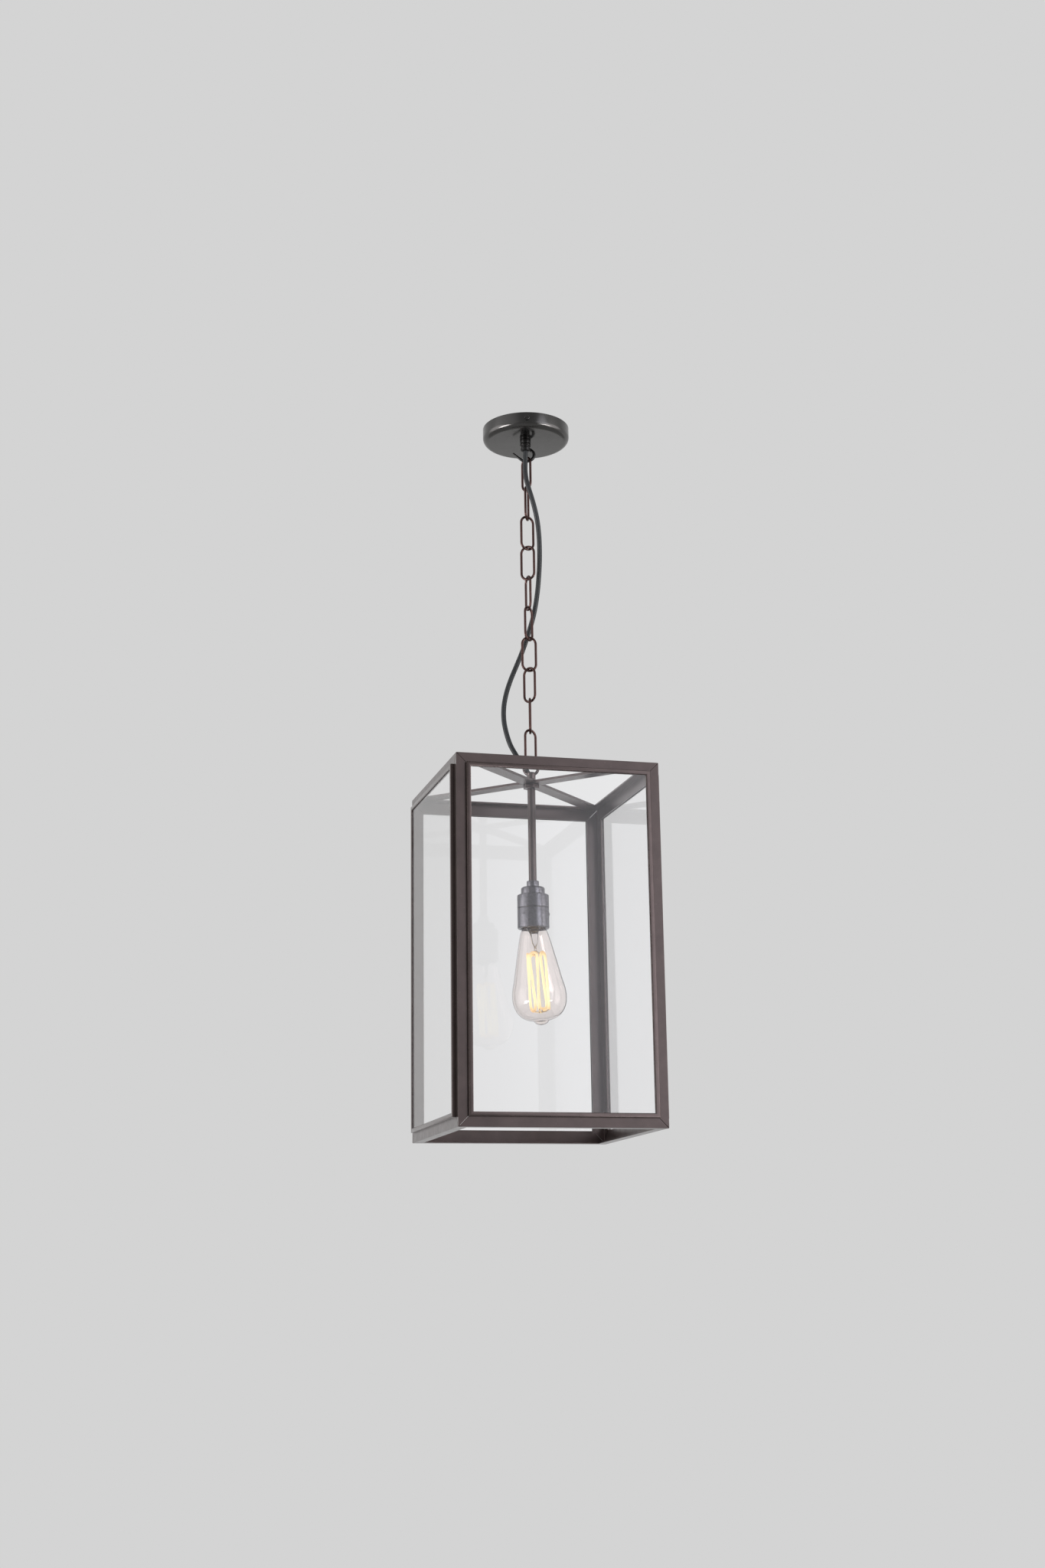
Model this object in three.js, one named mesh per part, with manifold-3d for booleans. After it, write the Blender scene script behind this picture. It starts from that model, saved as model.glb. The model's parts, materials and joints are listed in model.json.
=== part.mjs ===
// Hanging lantern: a glazed square lantern on a chain below a round ceiling rose.
// Units are millimetres, +Z is up. The origin is the centre of the ceiling plane, so
// everything hangs at negative Z. The lantern's front faces -Y and its right side +X.

import * as THREE from "three";
import { mergeVertices } from "three/addons/utils/BufferGeometryUtils.js";
import Module from "manifold-3d";

const wasm = await Module();
wasm.setup();

// ---------------------------------------------------------------- driving dimensions

const GAP = 0.3; // clearance left between pieces that touch on the real lantern
const FACETS = 24; // sides of an ordinary round part
const rad = THREE.MathUtils.degToRad;

// ceiling rose and what it covers
const ROSE_R = 54;
const ROSE_H = 19;
const ROSE_EDGE_R = 7;
const ROSE_WALL = 1.4;
const ROSE_FACETS = 34;
const ROSE_YAW = rad(-13.4); // turns the strap and its two screws
const STRAP_W = 20;
const STRAP_T = 2.5;
const STRAP_HALF_LENGTH = 50.8;
const STRAP_TAB_H = 12;
const ROSE_SCREW_Z = -8;
const SCREW_SHANK_R = 1.6;
const TERMINAL_BLOCK = [18, 22, 10];
const TERMINAL_BLOCK_Y = 25;

// hook
const HOOK_WIRE = 4;
const HOOK_YAW = rad(-15);
const HOOK_BOTTOM_Z = -42.5; // centre of the wire at the hook's lowest point
const HOOK_ROUTE = [ // centreline in the hook's own plane: [sideways, z]
  [0, -3.3], [0, -12], [0, -20], [1.2, -24.6], [5.2, -27.6], [8.9, -31.2], [9.9, -36],
  [7.4, -40.2], [2.6, HOOK_BOTTOM_Z], [-2.2, HOOK_BOTTOM_Z], [-6, -40.9], [-15.2, -33],
];

// cord grip
const GRIP_X = -3.2;
const GRIP_Y = -9;
const GRIP_END_Z = -33.8;
const GRIP_THREAD_R = 4.6;

// chain
const LINK_COUNT = 10;
const LINK_WIRE = 3;
const LINK_WIDTH = 19.7; // outside
const LINK_LENGTH = 45.7; // outside
const LINK_BEND_R = (LINK_WIDTH - LINK_WIRE) / 2;
const LINK_STRAIGHT = LINK_LENGTH - LINK_WIDTH;
const LINK_BEND_STEPS = 16;
const WIRE_SIDES = 8;
const LINK_TURN = rad(-49.5); // each link hangs turned by this from the one above
const FIRST_LINK_YAW = rad(-68);
const FIRST_LINK_TOP_Z = HOOK_BOTTOM_Z + (HOOK_WIRE + LINK_WIRE) / 2 + GAP; // wire centre
const LINK_PITCH = LINK_LENGTH - LINK_WIRE - LINK_WIRE - GAP;
const LAST_LINK_BOTTOM_Z =
  FIRST_LINK_TOP_Z - (LINK_COUNT - 1) * LINK_PITCH - (LINK_LENGTH - LINK_WIRE);

// lantern frame: mitred angle sections, with a glazing frame standing proud on each side
const FRAME_W = 242;
const FRAME_H = 422;
const FRAME_BOTTOM_Z = -880.5;
const FRAME_TOP_Z = FRAME_BOTTOM_Z + FRAME_H;
const ANGLE_LEG = 16; // legs that lie in the lantern's sides
const FLANGE = 12; // legs that lie flat at top and bottom
const ANGLE_T = 2;
const MITRE_GAP = GAP / Math.SQRT2;
const BEAD_INSET = 11.3; // from the frame's corner to the glazing bead's outer edge
const BEAD_W = 5;
const BEAD_PROUD = 4.3;
const BEAD_WALL = 1.3;
const BEAD_LIP = 1.1;
const BEAD_ROUND = 0.9;
const GLASS_T = 2.5;

// crossed bars and the hub that carries chain and lamp
const BAR_W = 18;
const BAR_T = 3;
const BAR_TOP_Z = FRAME_TOP_Z; // flush with the top flanges
const LOOP_WIRE = 3.6;
const LOOP_R = 8.7;
const LOOP_YAW = FIRST_LINK_YAW + LINK_COUNT * LINK_TURN;
const LOOP_TOP_Z = LAST_LINK_BOTTOM_Z + (LINK_WIRE + LOOP_WIRE) / 2 + GAP; // wire centre
const LOOP_CENTRE_Z = LOOP_TOP_Z - LOOP_R;
const NECK_R = 5.8;
const NECK_TOP_Z = LOOP_CENTRE_Z - 5.6;
const STUD_R = 4;
const NUT_ACROSS = 17;
const NUT_T = 5;
const NUT_TOP_Z = BAR_TOP_Z - BAR_T - GAP;
const NUT_BOTTOM_Z = NUT_TOP_Z - NUT_T;

// lampholder, heights above the bottom of the frame
const ROD_R = 4.75;
const COLLAR_R = 7.3;
const COLLAR_TOP = 300.2;
const CAP_R = 14.15;
const CAP_TOP = 292.6;
const BARREL_R = 18.9;
const BARREL_TOP = 283.3;
const BARREL_SEAM = 267.1;
const BARREL_BOTTOM = 243;
const HOLDER_WALL = 1.8;
const HOLDER_SCREW_Z = 259.7;
const HOLDER_SCREW_YAWS = [rad(-143), rad(-23), rad(97)];

// lamp: squirrel-cage filament bulb, 64 mm across, E27 cap
const BULB_CAP_R = 13.1;
const BULB_CAP_TOP = 269.5;
const BULB_CAP_BOTTOM = 247.2;
const BULB_LEAN = rad(-4); // the glass stands slightly askew in its cap
const BULB_LEAN_YAW = rad(75); // direction of the line that it leans about
const BULB_LEAN_Z = 245;
const BULB_OUTLINE = [ // glass from neck to tip: [radius, height]
  [11.4, 247.5], [12.9, 243.8], [15.9, 239], [18, 231.5], [23.4, 207], [28.8, 181], [31.7, 168],
  [31.7, 155], [28.2, 145], [22, 137.4], [14, 133.4], [6, 131.8], [2.6, 130.6], [0, 129.6],
];
const BULB_WALL = 1;
const FILAMENT_STRANDS = 10;
const FILAMENT_TOP = 212;
const FILAMENT_BOTTOM = 146;
const FILAMENT_TOP_R = 10;
const FILAMENT_BOTTOM_R = 14;

// supply cable, from the cord grip round the chain to the hub
const CABLE_R = 3;
const CABLE_STEPS = 44;
const CABLE_ROUTE = [
  [-3.2, -9, -27], [-3.2, -9, -37], [-3.7, -9.1, -48], [-4.2, -10.2, -60], [-3.5, -12.3, -73],
  [-1.2, -14.2, -84.5], [2.2, -14.9, -97], [6, -13.9, -110], [9.7, -11.7, -124.5],
  [12.3, -9, -141], [13.8, -6, -158], [14.5, -2.6, -175], [14.4, 1, -192],
  [13.7, 4.8, -209.5], [11.9, 8.3, -227.5], [9.1, 11.2, -244], [5.2, 13.6, -259],
  [0.4, 15.3, -275], [-5.6, 16, -292], [-12.6, 16, -309], [-19.6, 15.7, -326],
  [-25.4, 15.3, -343.5], [-28.9, 14.8, -361.5], [-29.2, 13.9, -379.5], [-26.5, 12.5, -396],
  [-22.2, 10.9, -410.5], [-16.2, 9.7, -422], [-10.9, 8.6, -431], [-6.3, 6.6, -439],
  [-2.7, 3.9, -446.5], [-0.7, 1.4, -453.5], [0, 0.1, -460],
];

// ---------------------------------------------------------------- materials

const finish = (color, roughness, metalness, extra = {}) =>
  new THREE.MeshStandardMaterial({ color, roughness, metalness, ...extra });

const bronze = finish(0x5a4d4b, 0.48, 0.7);
const darkBronze = finish(0x4a4039, 0.45, 0.7);
const antiqueChain = finish(0x5c4643, 0.42, 0.85);
const gunmetal = finish(0x4d4b4a, 0.35, 0.8);
const blackWire = finish(0x2b2a29, 0.4, 0.8);
const zincSteel = finish(0x9a9c9d, 0.4, 0.9);
const holderMetal = finish(0x7b7a80, 0.32, 0.85);
const brass = finish(0xb99a5b, 0.35, 0.9);
const porcelain = finish(0xe9e4da, 0.3, 0);
const terminalPlastic = finish(0xdedbd2, 0.5, 0);
const cableSleeve = finish(0x3d3f41, 0.6, 0);
const clearGlass = finish(0xeef0f0, 0.03, 0, { transparent: true, opacity: 0.25 });
const amberGlass = finish(0xf4e6cf, 0.03, 0, { transparent: true, opacity: 0.35 });
const glowingWire = finish(0xffc65a, 0.5, 0, { emissive: 0xffa530 });

// ---------------------------------------------------------------- shape helpers

const lantern = new THREE.Group();

function add(name, geometry, material, parent = lantern) {
  const mesh = new THREE.Mesh(geometry, material);
  mesh.name = name;
  parent.add(mesh);
  return mesh;
}

function toSolid(geometry) {
  const bare = geometry.clone();
  bare.deleteAttribute("normal");
  bare.deleteAttribute("uv");
  const merged = mergeVertices(bare, 1e-4);
  return new wasm.Manifold(
    new wasm.Mesh({
      numProp: 3,
      vertProperties: new Float32Array(merged.attributes.position.array),
      triVerts: new Uint32Array(merged.index.array),
    }),
  );
}

function toGeometry(solid) {
  const mesh = solid.getMesh();
  const geometry = new THREE.BufferGeometry();
  geometry.setAttribute("position", new THREE.BufferAttribute(mesh.vertProperties, 3));
  geometry.setIndex(new THREE.BufferAttribute(mesh.triVerts, 1));
  geometry.computeVertexNormals();
  return geometry;
}

function cut(geometry, tools) {
  const result = tools.reduce((left, tool) => left.subtract(toSolid(tool)), toSolid(geometry));
  return toGeometry(result);
}

function join(geometries) {
  return toGeometry(geometries.map(toSolid).reduce((sum, next) => sum.add(next)));
}

// A closed mesh from points and polygons, turned outwards if its faces point in.
function closedMesh(points, polygons) {
  const faces = polygons.flatMap((p) => p.slice(2).map((_, i) => [p[0], p[i + 1], p[i + 2]]));
  const at = (i) => new THREE.Vector3(...points[i]);
  const volume = faces.reduce((sum, [a, b, c]) => sum + at(a).dot(at(b).cross(at(c))), 0);
  const geometry = new THREE.BufferGeometry();
  geometry.setAttribute("position", new THREE.Float32BufferAttribute(points.flat(), 3));
  geometry.setIndex(faces.flatMap(([a, b, c]) => (volume > 0 ? [a, b, c] : [a, c, b])));
  return geometry;
}

// A body of revolution about Z. The profile is [radius, z] pairs, from axis to axis or closed.
function turned(profile, facets = FACETS) {
  const points = profile.map(([r, z]) => new THREE.Vector2(r, z));
  const area = points.reduce((sum, p, i) => sum + p.cross(points[(i + 1) % points.length]), 0);
  if (area < 0) points.reverse();
  const onAxis = points[0].x === 0 && points[points.length - 1].x === 0;
  if (!onAxis) points.push(points[0].clone());
  return new THREE.LatheGeometry(points, facets).rotateX(Math.PI / 2);
}

function pipe(outerR, innerR, bottomZ, topZ, facets = FACETS) {
  return turned([[innerR, bottomZ], [outerR, bottomZ], [outerR, topZ], [innerR, topZ]], facets);
}

function rod(radius, bottomZ, topZ, facets = FACETS) {
  return turned([[0, bottomZ], [radius, bottomZ], [radius, topZ], [0, topZ]], facets);
}

// Points along a circular arc between two angles, for a profile.
function arc(centreR, centreZ, radius, fromDeg, toDeg, steps) {
  return Array.from({ length: steps + 1 }, (_, i) => {
    const angle = rad(fromDeg + ((toDeg - fromDeg) * i) / steps);
    return [centreR + radius * Math.cos(angle), centreZ + radius * Math.sin(angle)];
  });
}

function onCircle(angle, radius) {
  return new THREE.Vector2(radius * Math.cos(angle), radius * Math.sin(angle));
}

// A hexagonal nut with a round bore.
function nut(across, boreR, bottomZ, topZ) {
  const hexagon = new THREE.Shape();
  const corners = Array.from({ length: 6 }, (_, i) => rad(30 + 60 * i));
  hexagon.setFromPoints(corners.map((a) => onCircle(a, across / Math.sqrt(3))));
  hexagon.holes.push(new THREE.Path().absarc(0, 0, boreR, 0, 2 * Math.PI, true));
  const options = { depth: topZ - bottomZ, bevelEnabled: false, curveSegments: 9 };
  return new THREE.ExtrudeGeometry(hexagon, options).translate(0, 0, bottomZ);
}

// A round bar of the given radius along a curve.
function sweep(curve, radius, sides, steps) {
  const section = new THREE.Shape();
  const corners = Array.from({ length: sides }, (_, i) => (2 * Math.PI * i) / sides);
  section.setFromPoints(corners.map((a) => onCircle(a, radius)));
  return new THREE.ExtrudeGeometry(section, { steps, extrudePath: curve, bevelEnabled: false });
}

// ---------------------------------------------------------------- ceiling rose

function addCeilingRose() {
  const fittings = new THREE.Group();
  fittings.rotation.z = ROSE_YAW;
  lantern.add(fittings);

  const half = STRAP_HALF_LENGTH;
  const strapProfile = new THREE.Shape();
  strapProfile.setFromPoints(
    [
      [-half, 0], [half, 0], [half, -STRAP_TAB_H], [half - STRAP_T, -STRAP_TAB_H],
      [half - STRAP_T, -STRAP_T], [-half + STRAP_T, -STRAP_T],
      [-half + STRAP_T, -STRAP_TAB_H], [-half, -STRAP_TAB_H],
    ].map(([y, z]) => new THREE.Vector2(y, z)),
  );
  const strap = new THREE.ExtrudeGeometry(strapProfile, { depth: STRAP_W, bevelEnabled: false })
    .translate(0, 0, -STRAP_W / 2)
    .rotateX(Math.PI / 2)
    .rotateZ(Math.PI / 2);
  const screwHole = rod(SCREW_SHANK_R + GAP, -2 * ROSE_R, 2 * ROSE_R, 12)
    .rotateX(Math.PI / 2)
    .translate(0, 0, ROSE_SCREW_Z);
  const fixingHole = (y) => rod(2.4, -STRAP_T - 1, 1, 12).translate(0, y, 0);
  const strapCut = cut(strap, [screwHole, fixingHole(34), fixingHole(-34)]);
  add("mounting_strap", strapCut, zincSteel, fittings);

  const floorZ = -ROSE_H;
  const edgeZ = floorZ + ROSE_EDGE_R;
  const edgeR = ROSE_R - ROSE_EDGE_R;
  const cup = turned(
    [
      [0, floorZ], ...arc(edgeR, edgeZ, ROSE_EDGE_R, -90, 0, 5), [ROSE_R, -GAP],
      [ROSE_R - ROSE_WALL, -GAP], ...arc(edgeR, edgeZ, ROSE_EDGE_R - ROSE_WALL, 0, -90, 4),
      [0, floorZ + ROSE_WALL],
    ],
    ROSE_FACETS,
  );
  const hookHole = rod(HOOK_WIRE / 2 + GAP, floorZ - 1, floorZ + 4, 12);
  const gripHole = rod(GRIP_THREAD_R + GAP, floorZ - 1, floorZ + 4, 16).translate(GRIP_X, GRIP_Y, 0);
  const screwHoles = screwHole.clone().rotateZ(ROSE_YAW);
  add("ceiling_rose", cut(cup, [hookHole, gripHole, screwHoles]), gunmetal);

  const screwProfile = [
    [0, -8], [SCREW_SHANK_R, -8], [SCREW_SHANK_R, 0.3], [3.1, 0.3], [3.1, 1.1], [2.4, 1.7], [0, 1.8],
  ];
  for (const [name, turn] of [["front", 0], ["back", Math.PI]]) {
    const screw = turned(screwProfile, 12)
      .rotateX(Math.PI / 2)
      .translate(0, -ROSE_R, ROSE_SCREW_Z)
      .rotateZ(turn);
    add(`rose_screw_${name}`, screw, gunmetal, fittings);
  }

  const [blockW, blockD, blockH] = TERMINAL_BLOCK;
  const blockTop = -STRAP_T - GAP;
  const block = new THREE.BoxGeometry(blockW, blockD, blockH)
    .translate(0, TERMINAL_BLOCK_Y, blockTop - blockH / 2);
  const wireWays = [-5.5, 0, 5.5].map((x) =>
    rod(1.9, -blockD, blockD, 10)
      .rotateX(Math.PI / 2)
      .translate(x, TERMINAL_BLOCK_Y, blockTop - blockH / 2 - 1),
  );
  add("terminal_block", cut(block, wireWays), terminalPlastic, fittings);
}

function addHook() {
  const points = HOOK_ROUTE.map(([s, z]) => new THREE.Vector3(s, 0, z));
  const route = new THREE.CatmullRomCurve3(points, false, "centripetal");
  add("ceiling_hook", sweep(route, HOOK_WIRE / 2, WIRE_SIDES, 44).rotateZ(HOOK_YAW), blackWire);
  const nutTop = -STRAP_T - GAP;
  add("hook_nut", nut(8, HOOK_WIRE / 2 + GAP, nutTop - 4, nutTop), zincSteel);
}

function addCordGrip() {
  const boreR = CABLE_R + GAP;
  const under = -ROSE_H - GAP;
  const body = turned([
    [boreR, under + 6.3], [GRIP_THREAD_R, under + 6.3], [GRIP_THREAD_R, under - 4.6],
    [5.6, under - 4.6], [6.8, under - 5], [6.8, under - 7.6], [5.6, under - 8], [5.6, under - 9.8],
    [boreR, under - 9.8],
  ]);
  add("cord_grip_body", body.translate(GRIP_X, GRIP_Y, 0), blackWire);

  const capTop = under - 9.8 - GAP;
  const cap = turned([
    [boreR, capTop], [5.2, capTop], [5.9, capTop - 0.8], [5.9, GRIP_END_Z + 0.8],
    [5, GRIP_END_Z], [boreR, GRIP_END_Z],
  ]);
  add("cord_grip_cap", cap.translate(GRIP_X, GRIP_Y, 0), blackWire);

  const innerFloor = -ROSE_H + ROSE_WALL + GAP;
  const backnut = nut(11, GRIP_THREAD_R + GAP, innerFloor, innerFloor + 3);
  add("cord_grip_backnut", backnut.translate(GRIP_X, GRIP_Y, 0), zincSteel);
}

// ---------------------------------------------------------------- chain

// A ring pulled out into a long link that stands in the XZ plane, its centre at the origin.
function linkGeometry() {
  const ring = new THREE.TorusGeometry(LINK_BEND_R, LINK_WIRE / 2, WIRE_SIDES, LINK_BEND_STEPS);
  ring.rotateZ(Math.PI / LINK_BEND_STEPS).rotateX(Math.PI / 2);
  const position = ring.attributes.position;
  for (let i = 0; i < position.count; i += 1) {
    const z = position.getZ(i);
    position.setZ(i, z + (Math.sign(z) * LINK_STRAIGHT) / 2);
  }
  return ring;
}

function addChain() {
  for (let i = 0; i < LINK_COUNT; i += 1) {
    const centreZ = FIRST_LINK_TOP_Z - i * LINK_PITCH - (LINK_LENGTH - LINK_WIRE) / 2;
    const name = `chain_link_${String(i + 1).padStart(2, "0")}`;
    const link = add(name, linkGeometry(), antiqueChain);
    link.position.z = centreZ;
    link.rotation.z = FIRST_LINK_YAW + i * LINK_TURN;
  }
}

// ---------------------------------------------------------------- supply cable

const cableCurve = new THREE.CatmullRomCurve3(
  CABLE_ROUTE.map((p) => new THREE.Vector3(...p)),
  false,
  "centripetal",
);

function addCable() {
  add("cable", sweep(cableCurve, CABLE_R, 10, CABLE_STEPS), cableSleeve);
}

// ---------------------------------------------------------------- lantern frame

// An angle section along X on the frame's top front edge. Its legs run back (+Y) and down (-Z),
// and both ends are cut so that three such bars meet at a corner.
function mitredAngle(edgeLength, backLeg, downLeg) {
  const section = [
    [0, 0], [backLeg, 0], [backLeg, ANGLE_T], [ANGLE_T, ANGLE_T], [ANGLE_T, downLeg], [0, downLeg],
  ];
  const ends = [-1, 1].flatMap((side) =>
    section.map(([back, down]) => {
      const reach = edgeLength / 2 - Math.max(back, down) - MITRE_GAP;
      return [side * reach, back, -down];
    }),
  );
  const n = section.length;
  const sides = section.map((_, i) => [i, (i + 1) % n, n + ((i + 1) % n), n + i]);
  const caps = [[0, 1, 2, 3], [0, 3, 4, 5]];
  const farCaps = caps.map((cap) => cap.map((i) => n + i));
  return closedMesh(ends, [
    ...sides,
    ...caps.map((cap) => [...cap].reverse()),
    ...farCaps,
  ]);
}

// A rectangular frame in the XZ plane with mitred corners. The profile is [inset, proud] pairs.
function mouldedFrame(width, height, profile) {
  const corners = [[-1, -1], [1, -1], [1, 1], [-1, 1]];
  const points = corners.flatMap(([sx, sz]) =>
    profile.map(([inset, proud]) => [sx * (width / 2 - inset), -proud, sz * (height / 2 - inset)]),
  );
  const n = profile.length;
  const polygons = corners.flatMap((_, c) =>
    profile.map((__, i) => {
      const next = (i + 1) % n;
      const corner = c * n;
      const following = ((c + 1) % 4) * n;
      return [corner + i, corner + next, following + next, following + i];
    }),
  );
  return closedMesh(points, polygons);
}

function beadProfile() {
  const innerArc = arc(BEAD_W - BEAD_ROUND, BEAD_PROUD - BEAD_ROUND, BEAD_ROUND, 0, 90, 3);
  const outerArc = arc(BEAD_ROUND, BEAD_PROUD - BEAD_ROUND, BEAD_ROUND, 90, 180, 3);
  const lipBack = BEAD_PROUD - BEAD_LIP;
  return [
    [0, GAP], [BEAD_WALL, GAP], [BEAD_WALL, lipBack], [BEAD_W, lipBack], ...innerArc, ...outerArc,
  ];
}

function addSides() {
  const sides = ["front", "right", "back", "left"];
  const posts = ["front_left", "front_right", "back_right", "back_left"];
  const faceY = -FRAME_W / 2;
  const middleZ = FRAME_BOTTOM_Z + FRAME_H / 2;
  const width = FRAME_W - 2 * BEAD_INSET;
  const height = FRAME_H - 2 * BEAD_INSET;
  const paneInset = BEAD_WALL + GAP;
  const paneY = faceY - (BEAD_PROUD - BEAD_LIP - GAP) + GLASS_T / 2;
  sides.forEach((side, i) => {
    const group = new THREE.Group();
    group.rotation.z = (i * Math.PI) / 2;
    lantern.add(group);

    const topRail = add(`top_rail_${side}`, mitredAngle(FRAME_W, FLANGE, ANGLE_LEG), bronze, group);
    topRail.position.set(0, faceY, FRAME_TOP_Z);

    const bottomSection = mitredAngle(FRAME_W, ANGLE_LEG, FLANGE);
    const bottomRail = add(`bottom_rail_${side}`, bottomSection, bronze, group);
    bottomRail.rotation.x = Math.PI / 2;
    bottomRail.position.set(0, faceY, FRAME_BOTTOM_Z);

    const postSection = mitredAngle(FRAME_H, ANGLE_LEG, ANGLE_LEG);
    const post = add(`post_${posts[i]}`, postSection, bronze, group);
    post.rotation.y = -Math.PI / 2;
    post.position.set(faceY, faceY, middleZ);

    const moulding = mouldedFrame(width, height, beadProfile());
    add(`glazing_frame_${side}`, moulding, darkBronze, group).position.set(0, faceY, middleZ);

    const pane = new THREE.BoxGeometry(width - 2 * paneInset, GLASS_T, height - 2 * paneInset);
    add(`glass_pane_${side}`, pane, clearGlass, group).position.set(0, paneY, middleZ);
  });
}

// ---------------------------------------------------------------- crossed bars and hub

function addCrossBars() {
  const innerCorner = (FRAME_W / 2 - FLANGE - GAP) * Math.SQRT2;
  const shoulder = innerCorner - BAR_W / 2;
  const outline = new THREE.Shape();
  outline.setFromPoints(
    [
      [innerCorner, 0], [shoulder, BAR_W / 2], [-shoulder, BAR_W / 2],
      [-innerCorner, 0], [-shoulder, -BAR_W / 2], [shoulder, -BAR_W / 2],
    ].map(([x, y]) => new THREE.Vector2(x, y)),
  );
  const bar = new THREE.ExtrudeGeometry(outline, { depth: BAR_T, bevelEnabled: false });
  const hole = rod(STUD_R + GAP, -1, BAR_T + 1, 16);
  const lapDepth = (BAR_T + GAP) / 2;
  const lap = new THREE.BoxGeometry(BAR_W + 2 * GAP, BAR_W + 2 * GAP, 2 * lapDepth);
  const bars = [["cross_bar_a", BAR_T, rad(45)], ["cross_bar_b", 0, rad(-45)]];
  for (const [name, lapZ, yaw] of bars) {
    const notched = cut(bar, [hole, lap.clone().translate(0, 0, lapZ)]);
    const mesh = add(name, notched, bronze);
    mesh.rotation.z = yaw;
    mesh.position.z = BAR_TOP_Z - BAR_T;
  }
}

function addHub() {
  const neckBottom = BAR_TOP_Z + GAP;
  const ring = new THREE.TorusGeometry(LOOP_R, LOOP_WIRE / 2, WIRE_SIDES, 24)
    .rotateX(Math.PI / 2)
    .rotateZ(LOOP_YAW)
    .translate(0, 0, LOOP_CENTRE_Z);
  const stem = turned([
    [0, NUT_BOTTOM_Z], [STUD_R, NUT_BOTTOM_Z], [STUD_R, neckBottom], [NECK_R, neckBottom],
    [NECK_R, NECK_TOP_Z - 0.8], [NECK_R - 0.8, NECK_TOP_Z], [0, NECK_TOP_Z],
  ]);
  const entryR = CABLE_R + GAP + 0.2;
  const entry = sweep(cableCurve, entryR, 12, CABLE_STEPS);
  const cableEndZ = CABLE_ROUTE[CABLE_ROUTE.length - 1][2];
  const entryEnd = rod(entryR, cableEndZ - GAP, cableEndZ + 1, 12);
  const wireBore = rod(1.8, NUT_BOTTOM_Z - 1, cableEndZ, 10);
  add("top_loop", cut(join([ring, stem]), [entry, entryEnd, wireBore]), bronze);
  add("hub_nut", nut(NUT_ACROSS, STUD_R + GAP, NUT_BOTTOM_Z, NUT_TOP_Z), bronze);
}

// ---------------------------------------------------------------- lampholder and bulb

function addLampholder() {
  const holder = new THREE.Group();
  holder.position.z = FRAME_BOTTOM_Z;
  lantern.add(holder);

  const rodTop = NUT_BOTTOM_Z - FRAME_BOTTOM_Z - GAP;
  add("drop_rod", pipe(ROD_R, ROD_R - 1.3, CAP_TOP + GAP, rodTop), bronze, holder);
  const collar = turned([
    [ROD_R + GAP, CAP_TOP + GAP], [COLLAR_R, CAP_TOP + GAP], [COLLAR_R, COLLAR_TOP - 0.8],
    [COLLAR_R - 0.8, COLLAR_TOP], [ROD_R + GAP, COLLAR_TOP],
  ]);
  add("rod_collar", collar, holderMetal, holder);

  const capBottom = BARREL_TOP + GAP;
  const cap = turned([
    [2.5, CAP_TOP - 1.6], [CAP_R - 3.6, CAP_TOP - 1.6], [CAP_R - 1.6, CAP_TOP - 4], [CAP_R - 1.6, capBottom],
    [CAP_R, capBottom], ...arc(CAP_R - 3.5, CAP_TOP - 3.5, 3.5, 0, 90, 4), [2.5, CAP_TOP],
  ]);
  add("lampholder_cap", cap, holderMetal, holder);

  const wallR = BARREL_R - HOLDER_WALL;
  const upper = turned(
    [
      [6, BARREL_TOP - 1.6], [wallR, BARREL_TOP - 1.6], [wallR, BARREL_SEAM + GAP / 2],
      [BARREL_R, BARREL_SEAM + GAP / 2], ...arc(BARREL_R - 2, BARREL_TOP - 2, 2, 0, 90, 3), [6, BARREL_TOP],
    ],
    FACETS + 4,
  );
  add("lampholder_body", upper, holderMetal, holder);

  const mouthR = 14.6;
  const skirt = turned(
    [
      [mouthR, BARREL_BOTTOM + 1], [mouthR + 1, BARREL_BOTTOM], [BARREL_R - 0.8, BARREL_BOTTOM],
      [BARREL_R, BARREL_BOTTOM + 0.8], [BARREL_R, BARREL_SEAM - GAP / 2], [wallR, BARREL_SEAM - GAP / 2],
      [wallR, BARREL_BOTTOM + 3], [mouthR, BARREL_BOTTOM + 2],
    ],
    FACETS + 4,
  );
  const screwHole = (yaw) =>
    rod(1.3 + GAP, BARREL_R - 4, BARREL_R + 2, 10)
      .rotateY(Math.PI / 2)
      .translate(0, 0, HOLDER_SCREW_Z)
      .rotateZ(yaw);
  add("lampholder_skirt", cut(skirt, HOLDER_SCREW_YAWS.map(screwHole)), holderMetal, holder);
  HOLDER_SCREW_YAWS.forEach((yaw, i) => {
    const screw = rod(1.3, BARREL_R - HOLDER_WALL - 0.2, BARREL_R + 0.3, 10)
      .rotateY(Math.PI / 2)
      .translate(0, 0, HOLDER_SCREW_Z)
      .rotateZ(yaw);
    add(`lampholder_screw_${i + 1}`, screw, holderMetal, holder);
  });

  const insulatorBottom = BULB_CAP_TOP + 2.5;
  const insulator = pipe(wallR - GAP, 2.2, insulatorBottom, BARREL_TOP - 1.6 - GAP);
  add("lampholder_insulator", insulator, porcelain, holder);
  const shellR = BULB_CAP_R + GAP + 0.1;
  const shell = pipe(shellR + 0.8, shellR, BARREL_BOTTOM + 2.6, insulatorBottom - GAP);
  add("thread_shell", shell, brass, holder);
  const contact = new THREE.BoxGeometry(12, 4, 0.8).translate(0, 0, BULB_CAP_TOP + GAP + 0.4);
  add("centre_contact", contact, brass, holder);
}

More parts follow.
